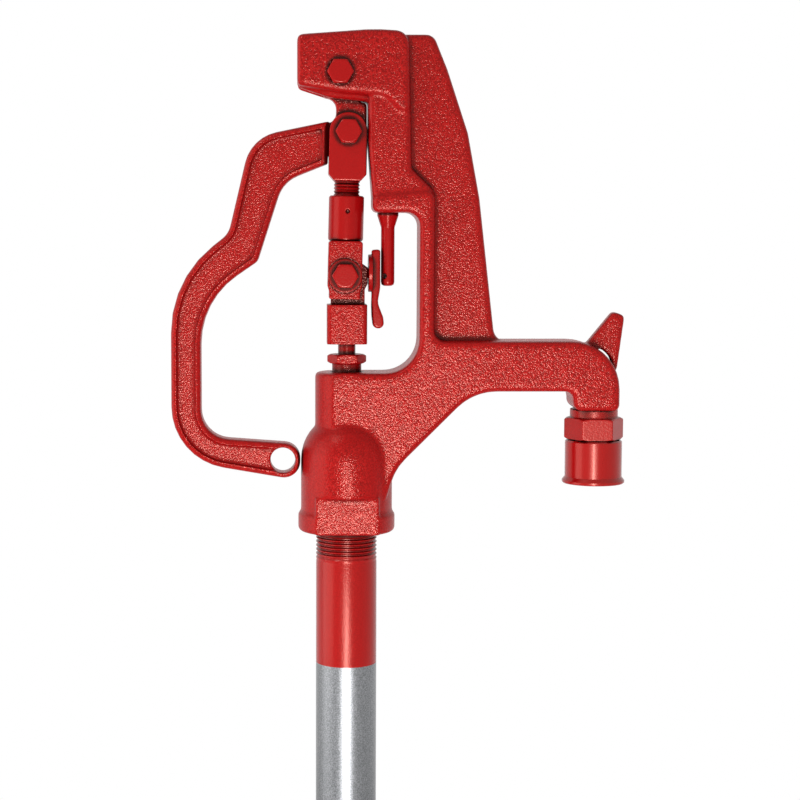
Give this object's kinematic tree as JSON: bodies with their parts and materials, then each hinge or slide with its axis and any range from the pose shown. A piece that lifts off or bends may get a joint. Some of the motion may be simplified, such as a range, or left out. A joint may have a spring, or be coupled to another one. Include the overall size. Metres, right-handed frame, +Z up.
{
  "type": "frost-free yard hydrant",
  "caption": "Buried-pipe yard hydrant with a cast head, lever and link that lift a rod, a hose spout with its cap, and a drain-back valve at the foot.",
  "frame": {"origin": "centre of the valve body's inlet face, at the foot of the hydrant", "axes": "+Z up along the casing pipe and the operating rod, +X from the pipe towards the spout, front along -Y"},
  "size_m": [0.2483, 0.05, 1.0542],
  "materials": {
    "red_enamel": "glossy red enamel over grainy cast iron",
    "galvanised_pipe": "hot-dip zinc with a faint spangle",
    "cast_brass": "cast and turned brass, satin",
    "black_rubber": "smooth nitrile rubber",
    "plain_steel": "zinc-plated steel, satin",
    "red_plastic": "moulded red plastic, glossy"
  },
  "bodies": {
    "head": {"head_casting": "red_enamel", "casing_pipe": "galvanised_pipe", "valve_body": "cast_brass", "packing_nut": "red_enamel", "packing_ring": "black_rubber", "packing_washer": "cast_brass", "nozzle": "red_enamel", "fulcrum_bolt": "red_enamel", "fulcrum_nut": "red_enamel", "guide_pin": "red_enamel"},
    "lever": {"lever": "red_enamel"},
    "link": {"upper_clevis": "red_enamel", "link_stud": "red_enamel", "link_sleeve": "red_enamel", "lower_fork": "red_enamel", "clevis_bolt": "red_enamel", "clevis_nut": "red_enamel", "fork_bolt": "red_enamel", "fork_washer": "red_enamel", "fork_nut": "red_enamel"},
    "coupler": {"rod_coupler": "red_enamel", "set_screws": "plain_steel"},
    "rod": {"operating_rod": "red_enamel", "rod_jam_nut": "plain_steel", "plunger": "cast_brass", "plunger_rings": "black_rubber", "plunger_seal": "black_rubber", "seal_screw": "cast_brass"},
    "thumb_screw": {"thumb_screw": "red_enamel"},
    "thread_cap": {"thread_cap": "red_plastic"}
  },
  "joints": [
    {"name": "lever_swing", "type": "hinge", "parent": "head", "child": "lever", "pos_m": [-0.0041, 0, 1.0317], "axis": [0, 1, 0], "range_deg": [0, 50]},
    {"name": "link_pivot", "type": "hinge", "parent": "lever", "child": "link", "pos_m": [0.0005, 0, 1.0004], "axis": [0, 1, 0], "range_deg": [-69.3, 0]},
    {"name": "coupler_pivot", "type": "hinge", "parent": "link", "child": "coupler", "pos_m": [-0.0012, 0, 0.923], "axis": [0, 1, 0], "range_deg": [0, 19.3]},
    {"name": "rod_slide", "type": "slide", "parent": "head", "child": "rod", "axis": [0, 0, 1], "range_m": [0, 0.01143]},
    {"name": "thumb_turn", "type": "hinge", "parent": "coupler", "child": "thumb_screw", "pos_m": [0.014, 0, 0.9242], "axis": [1, 0, 0], "range_deg": [-90, 90]},
    {"name": "cap_pull", "type": "slide", "parent": "head", "child": "thread_cap", "axis": [0, 0, -1], "range_m": [0, 0.03]}
  ],
  "couplings": [
    {"joint": "link_pivot", "follows": "lever_swing", "ratio": -1.3851},
    {"joint": "coupler_pivot", "follows": "lever_swing", "ratio": 0.38511},
    {"joint": "rod_slide", "follows": "lever_swing", "m_per_rad": 0.013094}
  ]
}
